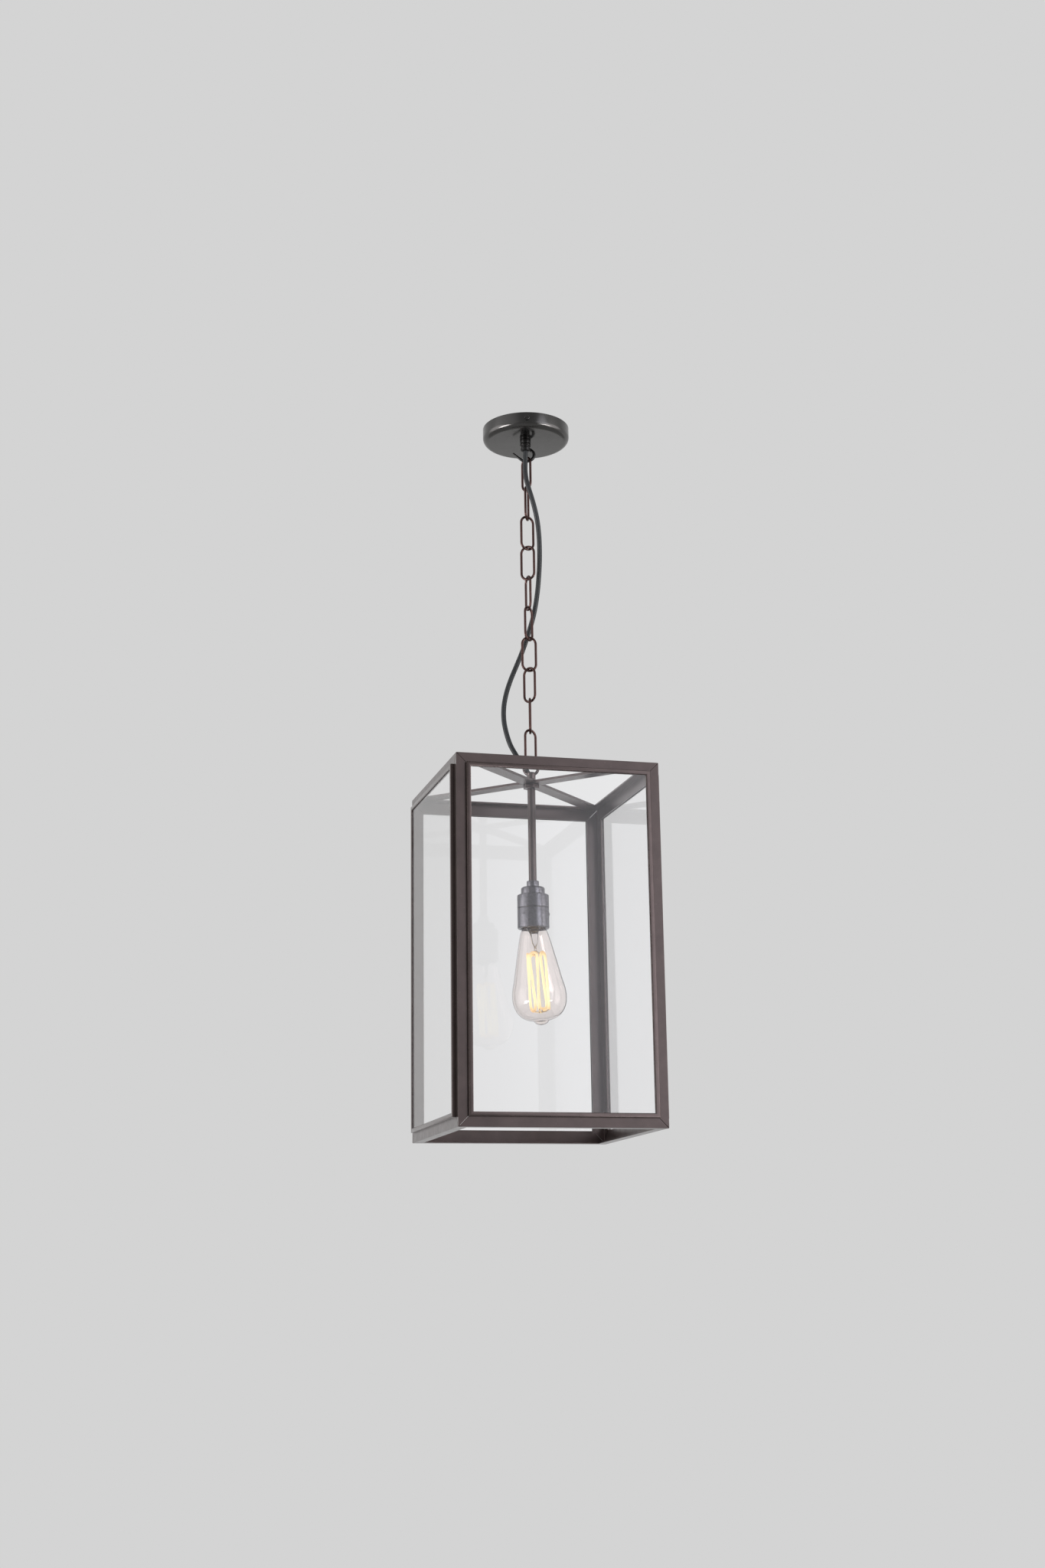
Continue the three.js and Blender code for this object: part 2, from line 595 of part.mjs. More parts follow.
// The glass is a thin wall between its outline and the same outline moved inwards.
function bulbProfile() {
  const outline = new THREE.SplineCurve(BULB_OUTLINE.map(([r, z]) => new THREE.Vector2(r, z)));
  const steps = 2 * (BULB_OUTLINE.length - 1);
  const samples = Array.from({ length: steps + 1 }, (_, i) => i / steps);
  const outer = samples.map((t) => outline.getPoint(t));
  const inner = samples.map((t, i) => {
    const along = outline.getTangent(t);
    return new THREE.Vector2(along.y, -along.x).multiplyScalar(BULB_WALL).add(outer[i]);
  });
  const hollow = inner.filter((p) => p.x > 2 * BULB_WALL);
  const roof = new THREE.Vector2(0, hollow[hollow.length - 1].y);
  return [...hollow, roof, ...outer.reverse()].map((p) => [Math.max(p.x, 0), p.y]);
}

// One zigzag wire that climbs and falls round a cone.
function filamentPath() {
  const path = new THREE.CurvePath();
  const turn = Math.PI / FILAMENT_STRANDS / 3;
  const onRing = (angle, radius, z) => {
    const { x, y } = onCircle(angle, radius);
    return new THREE.Vector3(x, y, z);
  };
  const points = Array.from({ length: FILAMENT_STRANDS }, (_, i) => {
    const yaw = (2 * Math.PI * i) / FILAMENT_STRANDS;
    const top = onRing(yaw - turn, FILAMENT_TOP_R, FILAMENT_TOP);
    const low = onRing(yaw + turn, FILAMENT_BOTTOM_R, FILAMENT_BOTTOM);
    return i % 2 ? [low, top] : [top, low];
  }).flat();
  points.slice(1).forEach((end, i) => path.add(new THREE.LineCurve3(points[i], end)));
  return path;
}

function addBulb() {
  const bulb = new THREE.Group();
  bulb.position.z = FRAME_BOTTOM_Z;
  lantern.add(bulb);

  const wall = 0.8;
  const cap = turned([
    [BULB_CAP_R - wall, BULB_CAP_BOTTOM], [BULB_CAP_R, BULB_CAP_BOTTOM],
    [BULB_CAP_R, BULB_CAP_TOP - 8], [9, BULB_CAP_TOP - 3.5], [5, BULB_CAP_TOP - 2.5],
    [4.4, BULB_CAP_TOP], [0, BULB_CAP_TOP], [0, BULB_CAP_TOP - 4.5],
    [8, BULB_CAP_TOP - 5], [BULB_CAP_R - wall, BULB_CAP_TOP - 9],
  ]);
  add("bulb_cap", cap, brass, bulb);

  const leanLine = new THREE.Vector3(Math.cos(BULB_LEAN_YAW), Math.sin(BULB_LEAN_YAW), 0);
  const leaning = new THREE.Group();
  leaning.setRotationFromAxisAngle(leanLine, BULB_LEAN);
  leaning.position.z = BULB_LEAN_Z;
  bulb.add(leaning);

  const glass = turned(bulbProfile(), 22);
  add("bulb_glass", glass.translate(0, 0, -BULB_LEAN_Z), amberGlass, leaning);

  const stem = turned(
    [
      [0, 247.5], [9.5, 247.5], [8.5, 243], [4.6, 236], [3, 226], [1.5, 220], [1.3, 144],
      [2.6, 142.5], [2.6, 141], [0, 140],
    ],
    12,
  );
  add("bulb_stem", stem.translate(0, 0, -BULB_LEAN_Z), clearGlass, leaning);

  const filament = sweep(filamentPath(), 0.6, 6, 3 * (2 * FILAMENT_STRANDS - 1));
  add("bulb_filament", filament.translate(0, 0, -BULB_LEAN_Z), glowingWire, leaning);
}

addCeilingRose();
addHook();
addCordGrip();
addChain();
addCable();
addSides();
addCrossBars();
addHub();
addLampholder();
addBulb();

export default lantern;
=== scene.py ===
"""Looks of a glazed lantern that hangs on a chain below a round ceiling rose.

Metres, +Z up. The origin is on the ceiling plane above the lantern's centre, and the front
pane faces -Y. Sizes written in millimetres are turned into metres where a mesh is made.
"""

import json
import math

import bmesh
import bpy
from mathutils import Euler, Matrix, Vector


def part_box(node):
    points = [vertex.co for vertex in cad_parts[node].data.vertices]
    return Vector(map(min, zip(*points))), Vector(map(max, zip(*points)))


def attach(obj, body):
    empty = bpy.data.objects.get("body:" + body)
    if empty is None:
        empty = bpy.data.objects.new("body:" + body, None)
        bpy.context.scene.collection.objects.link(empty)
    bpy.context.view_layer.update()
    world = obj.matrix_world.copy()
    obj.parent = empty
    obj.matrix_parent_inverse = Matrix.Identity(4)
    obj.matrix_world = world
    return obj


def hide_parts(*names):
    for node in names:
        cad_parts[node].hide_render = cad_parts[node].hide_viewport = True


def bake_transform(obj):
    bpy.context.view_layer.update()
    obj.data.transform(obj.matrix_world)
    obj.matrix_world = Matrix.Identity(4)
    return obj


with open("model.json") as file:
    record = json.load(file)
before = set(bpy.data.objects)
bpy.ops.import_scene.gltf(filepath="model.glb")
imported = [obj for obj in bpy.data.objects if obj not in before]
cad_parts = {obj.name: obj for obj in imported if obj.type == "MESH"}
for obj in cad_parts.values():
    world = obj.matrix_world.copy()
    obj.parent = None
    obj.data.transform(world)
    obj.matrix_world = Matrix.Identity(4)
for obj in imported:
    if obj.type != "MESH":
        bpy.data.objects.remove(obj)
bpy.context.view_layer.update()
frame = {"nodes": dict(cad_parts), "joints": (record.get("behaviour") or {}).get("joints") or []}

MM = 0.001
rad = math.radians
SCENE = bpy.context.scene
SCENE.view_settings.view_transform = "Standard"

# ------------------------------------------------------------------ camera

CAMERA_AT = (-0.64094, -2.3365, -1.06647)
CAMERA_TURN, CAMERA_PITCH, CAMERA_ROLL = -15.095, 14.046, -0.811  # degrees
CAMERA_LENS_MM = 47.53


def make_camera():
    data = bpy.data.cameras.new("camera")
    data.lens = CAMERA_LENS_MM
    data.sensor_width = 36
    data.clip_end = 60
    camera = bpy.data.objects.new("camera", data)
    SCENE.collection.objects.link(camera)
    looking = Euler((rad(90 + CAMERA_PITCH), 0, rad(CAMERA_TURN))).to_matrix().to_4x4()
    roll = Matrix.Rotation(rad(CAMERA_ROLL), 4, "Z")
    camera.matrix_world = Matrix.Translation(CAMERA_AT) @ looking @ roll
    SCENE.camera = camera


make_camera()

# ------------------------------------------------------------------ materials

BEVEL_SAMPLES = 4


class Shader:
    """A new material's node tree, with short calls for the nodes that the finishes share."""

    def __init__(self, name):
        self.material = bpy.data.materials.new(name)
        self.material.use_nodes = True
        self.nodes = self.material.node_tree.nodes
        self.links = self.material.node_tree.links
        self.main = self.nodes["Principled BSDF"]
        self.place = self.nodes.new("ShaderNodeTexCoord").outputs["Object"]

    def set(self, **values):
        for name, value in values.items():
            self.main.inputs[name.replace("_", " ")].default_value = value

    def link(self, output, target):
        socket = self.main.inputs[target] if isinstance(target, str) else target
        self.links.new(output, socket)

    def noise(self, scale, detail=3.0, stretch=None, roughness=0.55):
        """Noise from 0 to 1, with about scale blotches to a metre, drawn out by stretch."""
        place = self.place
        if stretch:
            mapping = self.nodes.new("ShaderNodeMapping")
            mapping.inputs["Scale"].default_value = stretch
            self.link(place, mapping.inputs["Vector"])
            place = mapping.outputs["Vector"]
        node = self.nodes.new("ShaderNodeTexNoise")
        node.inputs["Scale"].default_value = scale
        node.inputs["Detail"].default_value = detail
        node.inputs["Roughness"].default_value = roughness
        self.link(place, node.inputs["Vector"])
        return node.outputs["Fac"]

    def between(self, factor, low, high, start=0.3, end=0.7):
        """Numbers or colours between low and high as factor goes from start to end."""
        ramp = self.nodes.new("ShaderNodeMapRange")
        ramp.inputs["From Min"].default_value = start
        ramp.inputs["From Max"].default_value = end
        self.link(factor, ramp.inputs["Value"])
        if isinstance(low, (int, float)):
            ramp.inputs["To Min"].default_value = low
            ramp.inputs["To Max"].default_value = high
            return ramp.outputs["Result"]
        mix = self.nodes.new("ShaderNodeMix")
        mix.data_type = "RGBA"
        self.link(ramp.outputs["Result"], mix.inputs["Factor"])
        for socket, value in ((mix.inputs["A"], low), (mix.inputs["B"], high)):
            if hasattr(value, "node"):
                self.link(value, socket)
            else:
                socket.default_value = (*value, 1)
        return mix.outputs["Result"]

    def bump(self, height, depth_mm, strength=1.0):
        node = self.nodes.new("ShaderNodeBump")
        node.inputs["Strength"].default_value = strength
        node.inputs["Distance"].default_value = depth_mm * MM
        self.link(height, node.inputs["Height"])
        self.link(node.outputs["Normal"], "Normal")

    def edges(self, radius_mm):
        """1 along sharp outer edges and 0 on open faces."""
        bevel = self.nodes.new("ShaderNodeBevel")
        bevel.samples = BEVEL_SAMPLES
        bevel.inputs["Radius"].default_value = radius_mm * MM
        dot = self.nodes.new("ShaderNodeVectorMath")
        dot.operation = "DOT_PRODUCT"
        self.link(bevel.outputs["Normal"], dot.inputs[0])
        self.link(self.nodes.new("ShaderNodeNewGeometry").outputs["Normal"], dot.inputs[1])
        return self.between(dot.outputs["Value"], 1.0, 0.0, 0.8, 0.98)


def shade(color, factor):
    return tuple(min(1.0, c * factor) for c in color)


def lacquered_metal(name, color, roughness, metallic, rubbed=None, cloud=0.12, coat=0.0):
    """Plated or lacquered metal: cloudy colour, uneven gloss, a faint orange peel and, with
    rubbed, a second colour that shows through along the edges and in a few scuffs."""
    s = Shader(name)
    s.set(Metallic=metallic, Coat_Weight=coat, Coat_Roughness=0.25)
    clouds = s.noise(38, 4)
    base = s.between(clouds, shade(color, 1 - cloud), shade(color, 1 + cloud))
    if rubbed:
        scuffs = s.noise(210, 5, roughness=0.7)
        base = s.between(scuffs, base, rubbed, 0.66, 0.78)
        base = s.between(s.edges(0.7), base, rubbed, 0.1, 1.6)
    s.link(base, "Base Color")
    s.link(s.between(s.noise(130, 4), roughness - 0.05, roughness + 0.05), "Roughness")
    s.bump(s.noise(700, 2), 0.004, 0.5)
    return s.material


def brushed_metal(name, color, roughness, metallic=1.0, lines=(1, 1, 40), cloud=0.06):
    """Metal turned or drawn so that fine lines run round or along it."""
    s = Shader(name)
    s.set(Metallic=metallic)
    clouds = s.noise(45, 3)
    s.link(s.between(clouds, shade(color, 1 - cloud), shade(color, 1 + cloud)), "Base Color")
    grain = s.noise(260, 4, stretch=lines, roughness=0.65)
    s.link(s.between(grain, roughness - 0.06, roughness + 0.08), "Roughness")
    s.bump(grain, 0.01, 0.4)
    return s.material


def moulded(name, color, roughness, depth_mm=0.02, scale=900, cloud=0.05):
    """Plastic, rubber or ceramic with a fine moulded skin."""
    s = Shader(name)
    s.set(Specular_IOR_Level=0.5)
    clouds = s.noise(60, 3)
    s.link(s.between(clouds, shade(color, 1 - cloud), shade(color, 1 + cloud)), "Base Color")
    s.link(s.between(s.noise(350, 4), roughness - 0.06, roughness + 0.08), "Roughness")
    s.bump(s.noise(scale, 3), depth_mm, 0.5)
    return s.material


def glass(name, color, ior, ripple_mm):
    """Clear glass with a faint ripple, which light rays to a lamp pass straight through."""
    s = Shader(name)
    s.set(Base_Color=(*color, 1), IOR=ior, Transmission_Weight=1.0, Metallic=0.0, Roughness=0.0)
    s.bump(s.noise(16, 2), ripple_mm, 0.3)
    clear = s.nodes.new("ShaderNodeBsdfTransparent")
    clear.inputs["Color"].default_value = (*color, 1)
    mix = s.nodes.new("ShaderNodeMixShader")
    shadow = s.nodes.new("ShaderNodeLightPath").outputs["Is Shadow Ray"]
    s.link(shadow, mix.inputs["Fac"])
    s.link(s.main.outputs["BSDF"], mix.inputs[1])
    s.link(clear.outputs["BSDF"], mix.inputs[2])
    s.link(mix.outputs["Shader"], s.nodes["Material Output"].inputs["Surface"])
    return s.material


def glowing(name, color, ends_color, strength, low, high, fade):
    """Hot wire with slightly darker turns of its coil. It is bright between the heights low and
    high, and cooler within fade of both, where its supports hold it."""
    s = Shader(name)
    s.set(Metallic=0.0, Roughness=0.5, Emission_Strength=strength)
    turns = s.noise(1500, 2)
    split = s.nodes.new("ShaderNodeSeparateXYZ")
    s.link(s.place, split.inputs["Vector"])
    height = split.outputs["Z"]
    lit = s.between(turns, shade(color, 0.8), color)
    lit = s.between(height, ends_color, lit, low, low + fade)
    lit = s.between(height, lit, ends_color, high - fade, high)
    s.link(lit, "Emission Color")
    s.link(s.between(turns, shade(color, 0.5), shade(color, 0.7)), "Base Color")
    return s.material


# Heights between which the filament glows, and the height over which it fades at each end.
GLOW_FROM_Z, GLOW_TO_Z, GLOW_FADE = -0.736, -0.666, 0.008

MATERIALS = {
    "bronze": lacquered_metal(
        "bronze", (0.105, 0.077, 0.073), 0.34, 0.95, rubbed=(0.22, 0.165, 0.158), coat=0.8
    ),
    "glazing_bronze": lacquered_metal(
        "glazing_bronze", (0.12, 0.088, 0.083), 0.24, 0.95, coat=0.8
    ),
    "antique_chain": lacquered_metal(
        "antique_chain", (0.12, 0.07, 0.064), 0.3, 0.97, cloud=0.22
    ),
    "gunmetal": lacquered_metal("gunmetal", (0.125, 0.122, 0.12), 0.17, 0.98, cloud=0.04),
    "black_metal": lacquered_metal("black_metal", (0.02, 0.019, 0.019), 0.3, 0.6, coat=0.3),
    "zinc_steel": brushed_metal("zinc_steel", (0.42, 0.43, 0.44), 0.38, lines=(1, 30, 1)),
    "holder_metal": brushed_metal("holder_metal", (0.22, 0.215, 0.235), 0.27),
    "brass": brushed_metal("brass", (0.72, 0.6, 0.42), 0.3),
    "porcelain": moulded("porcelain", (0.8, 0.77, 0.7), 0.2),
    "terminal_plastic": moulded("terminal_plastic", (0.72, 0.7, 0.63), 0.45),
    "cable_sleeve": moulded("cable_sleeve", (0.04, 0.043, 0.046), 0.42, 0.05, 700),
    "clear_glass": glass("clear_glass", (0.99, 0.99, 0.992), 1.45, 0.01),
    "bulb_glass": glass("bulb_glass", (0.985, 0.945, 0.93), 1.45, 0.1),
    "glowing_wire": glowing(
        "glowing_wire", (0.98, 0.88, 0.52), (0.7, 0.42, 0.2), 1.0, GLOW_FROM_Z, GLOW_TO_Z, GLOW_FADE
    ),
}

# ------------------------------------------------------------------ shape helpers, in millimetres


def rounded(points, steps=5):
    """A profile with rounded corners. Each point is (x, y), or (x, y, corner radius)."""
    out = []
    for i, point in enumerate(points):
        here = Vector(point[:2])
        radius = point[2] if len(point) > 2 else 0
        if not radius:
            out.append(tuple(here))
            continue
        before = Vector(points[i - 1][:2]) - here
        after = Vector(points[(i + 1) % len(points)][:2]) - here
        half = before.angle(after) / 2
        centre = here + (before.normalized() + after.normalized()).normalized() * (
            radius / math.sin(half)
        )
        start = here + before.normalized() * (radius / math.tan(half)) - centre
        end = here + after.normalized() * (radius / math.tan(half)) - centre
        first = math.atan2(start.y, start.x)
        sweep = (math.atan2(end.y, end.x) - first + math.pi) % (2 * math.pi) - math.pi
        for k in range(steps + 1):
            a = first + sweep * k / steps
            out.append((centre.x + radius * math.cos(a), centre.y + radius * math.sin(a)))
    return out


def turned(profile, sides=72, closed=False):
    """A lathe body about Z from (radius, z) pairs, which end on the axis or, closed, meet."""
    verts, rings, faces = [], [], []
    for r, z in profile:
        count = 1 if r < 1e-6 else sides
        rings.append([len(verts) + i for i in range(count)])
        for i in range(count):
            a = 2 * math.pi * i / sides
            verts.append((r * math.cos(a), r * math.sin(a), z))
    pairs = list(zip(rings, rings[1:] + rings[:1]))
    for low, high in pairs if closed else pairs[:-1]:
        for i in range(sides):
            j = (i + 1) % sides
            face = [low[i % len(low)], low[j % len(low)], high[j % len(high)], high[i % len(high)]]
            face = list(dict.fromkeys(face))
            if len(face) > 2:
                faces.append(face)
    return verts, faces


def smooth_line(points, per_piece):
    """A centripetal Catmull-Rom line through points, with per_piece steps between two of them."""
    pts = [Vector(p) for p in points]
    pts = [2 * pts[0] - pts[1], *pts, 2 * pts[-1] - pts[-2]]
    out = []
    for a, b, c, d in zip(pts, pts[1:], pts[2:], pts[3:]):
        ab, bc, cd = math.sqrt((b - a).length), math.sqrt((c - b).length), math.sqrt((d - c).length)
        leave = ((b - a) / ab - (c - a) / (ab + bc) + (c - b) / bc) * bc
        arrive = ((c - b) / bc - (d - b) / (bc + cd) + (d - c) / cd) * bc
        for k in range(per_piece):
            t = k / per_piece
            out.append(
                b * (2 * t**3 - 3 * t**2 + 1)
                + leave * (t**3 - 2 * t**2 + t)
                + c * (3 * t**2 - 2 * t**3)
                + arrive * (t**3 - t**2)
            )
    return [*out, pts[-2]]


def swept(line, radius, sides=20, closed=False):
    """A round bar along line. radius is a number, or one for each point."""
    radii = radius if isinstance(radius, list) else [radius] * len(line)
    n = len(line)
    verts, faces = [], []
    side = None
    for i, here in enumerate(line):
        ahead = line[(i + 1) % n] if closed or i < n - 1 else here
        behind = line[i - 1] if closed or i else here
        along = (ahead - behind).normalized()
        if side is None:
            side = along.orthogonal().normalized()
        side = (side - along * side.dot(along)).normalized()
        other = along.cross(side)
        for k in range(sides):
            a = 2 * math.pi * k / sides
            verts.append(here + (side * math.cos(a) + other * math.sin(a)) * radii[i])
    for i in range(n if closed else n - 1):
        for k in range(sides):
            k2, i2 = (k + 1) % sides, (i + 1) % n
            faces.append([i * sides + k, i * sides + k2, i2 * sides + k2, i2 * sides + k])
    if not closed:
        faces.append(list(range(sides))[::-1])
        faces.append([(n - 1) * sides + k for k in range(sides)])
    return verts, faces


def domed(line, radius, steps=5):
    """line and its radii with a half-round end at each side, for swept()."""
    points, radii = list(line), [radius] * len(line)
    for end, inner in ((0, 1), (-1, -2)):
        out = (line[end] - line[inner]).normalized()
        angles = [math.pi / 2 * k / steps for k in range(1, steps)]
        added = [line[end] + out * radius * math.sin(a) for a in angles]
        widths = [radius * math.cos(a) for a in angles]
        if end:
            points, radii = points + added, radii + widths
        else:
            points, radii = added[::-1] + points, widths[::-1] + radii
    return points, radii


def moved(shape, matrix):
    verts, faces = shape
    return [matrix @ Vector(v) for v in verts], faces


def joined(*shapes):
    verts, faces = [], []
    for more_verts, more_faces in shapes:
        faces += [[len(verts) + i for i in face] for face in more_faces]
        verts += list(more_verts)
    return verts, faces


def at(x, y, z):
    return Matrix.Translation((x, y, z))


def turn_z(degrees):
    return Matrix.Rotation(rad(degrees), 4, "Z")


def add_piece(name, shape, body, slot, stands_for=(), crease=38):
    """Makes a mesh object from a shape in millimetres, and hands it to its body and slot."""
    verts, faces = shape
    mesh = bpy.data.meshes.new(name)
    mesh.from_pydata([Vector(v) * MM for v in verts], [], faces)
    bm = bmesh.new()
    bm.from_mesh(mesh)
    bmesh.ops.recalc_face_normals(bm, faces=bm.faces)
    bm.to_mesh(mesh)
    bm.free()
    mesh.shade_smooth()
    mesh.set_sharp_from_angle(angle=rad(crease))
    mesh.materials.append(MATERIALS[slot])
    piece = bpy.data.objects.new(name, mesh)
    SCENE.collection.objects.link(piece)
    if body:
        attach(piece, body)
    if stands_for:
        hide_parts(*stands_for)
    return piece


# ------------------------------------------------------------------ cable

CABLE_R = 3
CABLE_ROUTE = [
    (-3.2, -9, -27), (-3.2, -9, -37), (-3.7, -9.1, -48), (-4.2, -10.2, -60), (-3.5, -12.3, -73),
    (-1.2, -14.2, -84.5), (2.2, -14.9, -97), (6, -13.9, -110), (9.7, -11.7, -124.5),
    (12.3, -9, -141), (13.8, -6, -158), (14.5, -2.6, -175), (14.4, 1, -192),
    (13.7, 4.8, -209.5), (11.9, 8.3, -227.5), (9.1, 11.2, -244), (5.2, 13.6, -259),
    (0.4, 15.3, -275), (-5.6, 16, -292), (-12.6, 16, -309), (-19.6, 15.7, -326),
    (-25.4, 15.3, -343.5), (-28.9, 14.8, -361.5), (-29.2, 13.9, -379.5), (-26.5, 12.5, -396),
    (-22.2, 10.9, -410.5), (-16.2, 9.7, -422), (-10.9, 8.6, -431), (-6.3, 6.6, -439),
    (-2.7, 3.9, -446.5), (-0.7, 1.4, -453.5), (0, 0.1, -460),
]


def split_by_length(line, count):
    """line as count pieces of equal length, which share their end points."""
    along = [0.0]
    for a, b in zip(line, line[1:]):
        along.append(along[-1] + (b - a).length)
    share = along[-1] / count
    parts = [[line[0]]]
    for i in range(len(line) - 1):
        while len(parts) < count and along[i + 1] > share * len(parts):
            t = (share * len(parts) - along[i]) / (along[i + 1] - along[i])
            cut = line[i].lerp(line[i + 1], t)
            parts[-1].append(cut)
            parts.append([cut])
        parts[-1].append(line[i + 1])
    return parts, share


def make_cable():
    """The cable in stretches of equal length, one for each joint of the chain that lists deforming
    nodes.
    """
    swings = [j for j in frame["joints"] if "deforming_nodes" in j]
    stretches, length = split_by_length(smooth_line(CABLE_ROUTE, 8), len(swings))
    for i, (joint, line) in enumerate(zip(swings, stretches), start=1):
        name = f"cable_{i:02d}"
        piece = add_piece(name, swept(line, CABLE_R, 18), None, "cable_sleeve", ["cable"])
        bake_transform(piece)


make_cable()

# ------------------------------------------------------------------ ceiling rose, hook, cord grip

ROSE_R, ROSE_H, ROSE_EDGE, ROSE_WALL = 54, 19, 7, 1.4
ROSE_TURN = -13.4
ROSE_SCREW_Z = -8
ROSE_SCREW = (3.1, 1.8, 1.6, 8)  # head radius and height, shank radius and length
ROSE_SCREW_SLOT_TURN = 35
RIM_GAP = 0.3  # Between the rose's rim and the ceiling plane.


def slotted_screw(head_r, head_h, shank_r, shank_length):
    """A cheese-head screw along Z, with its head's seat at z 0 and a slot across the top."""
    slot_half, slot_depth = head_r * 0.16, head_h * 0.5
    head = rounded([(0, 0), (head_r, 0), (head_r, head_h, head_h * 0.35), (0, head_h)], 4)
    verts, faces = turned(head, 40)
    lowered = []
    for x, y, z in verts:
        in_slot = abs(y) < slot_half * 1.01 and z > head_h * 0.6
        lowered.append((x, y, head_h - slot_depth if in_slot else z))
    shank = turned([(0, -shank_length), (shank_r, -shank_length), (shank_r, 0.05), (0, 0.05)], 24)
    return joined((lowered, faces), shank)


def make_rose():
    cup = rounded(
        [
            (0, -ROSE_H),
            (ROSE_R, -ROSE_H, ROSE_EDGE),
            (ROSE_R, -RIM_GAP, 0.4),
            (ROSE_R - ROSE_WALL, -RIM_GAP, 0.4),
            (ROSE_R - ROSE_WALL, ROSE_WALL - ROSE_H, ROSE_EDGE - ROSE_WALL),
            (0, ROSE_WALL - ROSE_H),
        ],
        12,
    )
    add_piece("rose_cup", turned(cup, 144), "root", "gunmetal", ["ceiling_rose"], crease=60)
    screw = slotted_screw(*ROSE_SCREW)
    for name, turn in (("front", 0), ("back", 180)):
        outwards = at(0, -ROSE_R - 0.3, ROSE_SCREW_Z) @ Matrix.Rotation(rad(90), 4, "X")
        shape = moved(screw, turn_z(ROSE_TURN + turn) @ outwards @ turn_z(ROSE_SCREW_SLOT_TURN))
        node = f"rose_screw_{name}"
        add_piece(f"slotted_{node}", shape, "root", "gunmetal", [node])


HOOK_TURN = -15
HOOK_BOTTOM_Z = -42.5
HOOK_ROUTE = [
    (0, -3.3), (0, -12), (0, -20), (1.2, -24.6), (5.2, -27.6), (8.9, -31.2), (9.9, -36),
    (7.4, -40.2), (2.6, HOOK_BOTTOM_Z), (-2.2, HOOK_BOTTOM_Z), (-6, -40.9), (-15.2, -33),
]
HOOK_R, HOOK_TIP_R = 2, 1.2
HOOK_TAPER_FROM, HOOK_TAPER = -2, 11  # where along the tip the wire starts to thin, and how long


def make_hook():
    line = smooth_line([(s, 0, z) for s, z in HOOK_ROUTE], 10)
    line, radii = domed(line, HOOK_R)
    tapered = []
    for point, radius in zip(line, radii):
        share = min(1, max(0, (HOOK_TAPER_FROM - point.x) / HOOK_TAPER))
        tapered.append(radius * (1 - share * (1 - HOOK_TIP_R / HOOK_R)))
    shape = moved(swept(line, tapered, 24), turn_z(HOOK_TURN))
    add_piece("hook_wire", shape, "root", "black_metal", ["ceiling_hook"])


GRIP_AT = (-3.2, -9)
GRIP_END_Z = -33.8
GRIP_R, GRIP_WAIST_R, GRIP_CAP_R, GRIP_BORE_GAP = 6.8, 5.6, 5.9, 0.12


def knurled(profile, sides, ridge, low, high):
    """A turned shape whose outer wall between two heights is cut into fine ridges."""
    verts, faces = turned(profile, sides, closed=True)
    widest = max(r for r, _ in profile)
    out = []
    for i, (x, y, z) in enumerate(verts):
        outer = math.hypot(x, y) > widest - 0.05 and low < z < high
        scale = 1 - ridge / widest if outer and i % 2 else 1
        out.append((x * scale, y * scale, z))
    return out, faces


def make_cord_grip():
    bore, under = CABLE_R + GRIP_BORE_GAP, -ROSE_H - 0.3
    body = rounded(
        [
            (bore, under + 6), (4.6, under + 6, 0.3), (4.6, under + 0.2),
            (GRIP_R, under + 0.2, 0.3), (GRIP_R, under - 4, 0.5), (GRIP_WAIST_R, under - 4),
            (GRIP_WAIST_R, under - 5), (GRIP_R, under - 5, 0.4), (GRIP_R, under - 7.6, 0.5),
            (GRIP_WAIST_R, under - 8), (GRIP_WAIST_R, under - 9.7, 0.3), (bore, under - 9.7),
        ],
        3,
    )
    place = at(*GRIP_AT, 0)
    shape = moved(turned(body, 64, closed=True), place)
    add_piece("grip_sleeve", shape, "root", "black_metal", ["cord_grip_body"])
    top = under - 10.1
    cap = [
        (bore, top), (5.4, top), (GRIP_CAP_R, top - 0.5), (GRIP_CAP_R, top - 1.4),
        (GRIP_CAP_R, GRIP_END_Z + 1.3), (5.7, GRIP_END_Z + 0.7), (5.0, GRIP_END_Z + 0.1),
        (bore + 0.6, GRIP_END_Z), (bore, GRIP_END_Z + 0.4),
    ]
    ridged = knurled(cap, 60, 0.28, GRIP_END_Z + 1, top - 0.6)
    add_piece("grip_cap", moved(ridged, place), "root", "black_metal", ["cord_grip_cap"])


make_rose()
make_hook()
make_cord_grip()

# ------------------------------------------------------------------ chain

LINK_R, LINK_BEND, LINK_STRAIGHT = 1.5, 8.35, 26
LINK_PITCH, LINK_TURN, LINK_FIRST_TURN = 39.4, -49.5, -68
LINK_FIRST_CENTRE_Z = HOOK_BOTTOM_Z + HOOK_R + LINK_R + 0.3 - (LINK_STRAIGHT / 2 + LINK_BEND)
LINK_SEAM, LINK_SEAM_DEPTH = 0.16, 0.22


def link_line():
    """Centreline of a link in the XZ plane, with close steps at the butt seam in one side."""
    half = LINK_STRAIGHT / 2
    line, bend_steps = [], 22
    for side in (1, -1):
        for k in range(bend_steps + 1):
            a = math.pi * k / bend_steps
            line.append(
                Vector((side * LINK_BEND * math.cos(a), 0, side * (half + LINK_BEND * math.sin(a))))
            )
        steps = (-9, -5, -2, -0.5, -LINK_SEAM, 0, LINK_SEAM, 0.5, 2, 5, 9)
        line += [Vector((-side * LINK_BEND, 0, -side * z)) for z in steps]
    return line


